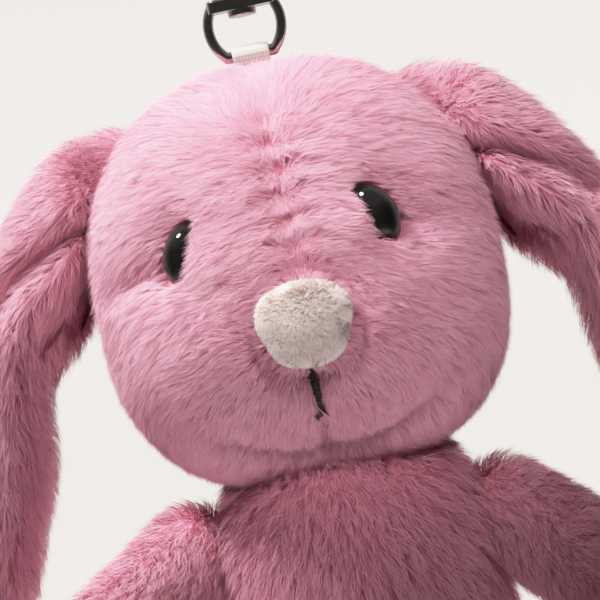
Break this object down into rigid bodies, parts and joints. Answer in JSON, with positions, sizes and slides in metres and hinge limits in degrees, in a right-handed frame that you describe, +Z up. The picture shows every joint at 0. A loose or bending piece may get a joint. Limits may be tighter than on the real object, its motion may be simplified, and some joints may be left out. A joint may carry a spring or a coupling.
{
  "type": "plush keychain",
  "caption": "Long-eared plush rabbit bag charm with swinging ears and limbs, hung by a tape loop from a sprung swivel hook.",
  "frame": {"origin": "centre of the hook's bow, where it hangs from a ring or a bag's strap", "axes": "+Z up along the hanging toy, the face looks along -Y, +X to the viewer's right"},
  "size_m": [0.1532, 0.0805, 0.2077],
  "materials": {
    "pink_plush": "short silky faux-fur pile, rose pink",
    "nose_pile": "very short matte pile, beige pink",
    "eye_plastic": "polished black moulding",
    "black_thread": "twisted embroidery thread",
    "clasp_metal": "polished nickel plating",
    "spring_steel": "drawn steel wire",
    "cream_tape": "woven narrow tape",
    "fibre_filling": "loose polyester fibre",
    "washer_plastic": "moulded, natural white",
    "pouch_cloth": "thin bag of plastic pellets",
    "label_satin": "blank satin ribbon"
  },
  "bodies": {
    "hook": {"hook_body": "clasp_metal", "gate_pin": "clasp_metal", "gate_spring": "spring_steel", "swivel_post": "clasp_metal"},
    "gate": {"gate_lever": "clasp_metal"},
    "eye": {"swivel_eye": "clasp_metal"},
    "head": {"hang_loop": "cream_tape", "head_cover": "pink_plush", "head_filling": "fibre_filling", "nose_pad": "nose_pile", "mouth_stitch": "black_thread", "left_eye": "eye_plastic", "right_eye": "eye_plastic", "left_eye_washer": "washer_plastic", "right_eye_washer": "washer_plastic"},
    "left_ear": {"left_ear_lining": "pink_plush", "left_ear_back": "pink_plush"},
    "right_ear": {"right_ear_lining": "pink_plush", "right_ear_back": "pink_plush"},
    "torso": {"body_cover": "pink_plush", "body_filling": "fibre_filling", "pellet_pouch": "pouch_cloth", "tail": "pink_plush", "care_label": "label_satin"},
    "left_arm": {"left_arm_cover": "pink_plush", "left_arm_filling": "fibre_filling"},
    "right_arm": {"right_arm_cover": "pink_plush", "right_arm_filling": "fibre_filling"},
    "left_leg": {"left_leg_cover": "pink_plush", "left_leg_filling": "fibre_filling"},
    "right_leg": {"right_leg_cover": "pink_plush", "right_leg_filling": "fibre_filling"}
  },
  "joints": [
    {"name": "gate_open", "type": "hinge", "parent": "hook", "child": "gate", "pos_m": [0.0047, 0, -0.0121], "axis": [0, -1, 0], "range_deg": [0, 28], "stiffness_Nm_per_rad": 0.004, "springref_deg": -22.92},
    {"name": "swivel_turn", "type": "hinge", "parent": "hook", "child": "eye", "pos_m": [0, 0, -0.0184], "axis": [0, 0, 1], "continuous": true},
    {"name": "loop_swing", "type": "hinge", "parent": "eye", "child": "head", "pos_m": [0, 0, -0.0271], "axis": [1, 0, 0], "range_deg": [-75, 75]},
    {"name": "left_ear_lift", "type": "hinge", "parent": "head", "child": "left_ear", "pos_m": [-0.026, 0.00485, -0.039], "axis": [0, 1, 0], "range_deg": [0, 100]},
    {"name": "right_ear_lift", "type": "hinge", "parent": "head", "child": "right_ear", "pos_m": [0.026, 0.00485, -0.039], "axis": [0, -1, 0], "range_deg": [0, 100]},
    {"name": "neck_nod", "type": "hinge", "parent": "head", "child": "torso", "pos_m": [0, 0.00205, -0.114], "axis": [1, 0, 0], "range_deg": [-10, 12], "stiffness_Nm_per_rad": 0.4},
    {"name": "left_arm_swing", "type": "hinge", "parent": "torso", "child": "left_arm", "pos_m": [-0.0235, -0.00095, -0.1085], "axis": [-1, 0, 0], "range_deg": [-15, 60], "stiffness_Nm_per_rad": 0.08},
    {"name": "right_arm_swing", "type": "hinge", "parent": "torso", "child": "right_arm", "pos_m": [0.0235, -0.00095, -0.1085], "axis": [-1, 0, 0], "range_deg": [-15, 60], "stiffness_Nm_per_rad": 0.08},
    {"name": "left_leg_swing", "type": "hinge", "parent": "torso", "child": "left_leg", "pos_m": [-0.0145, -0.00695, -0.1495], "axis": [-1, 0, 0], "range_deg": [0, 75]},
    {"name": "right_leg_swing", "type": "hinge", "parent": "torso", "child": "right_leg", "pos_m": [0.0145, -0.00695, -0.1495], "axis": [-1, 0, 0], "range_deg": [0, 75]}
  ]
}
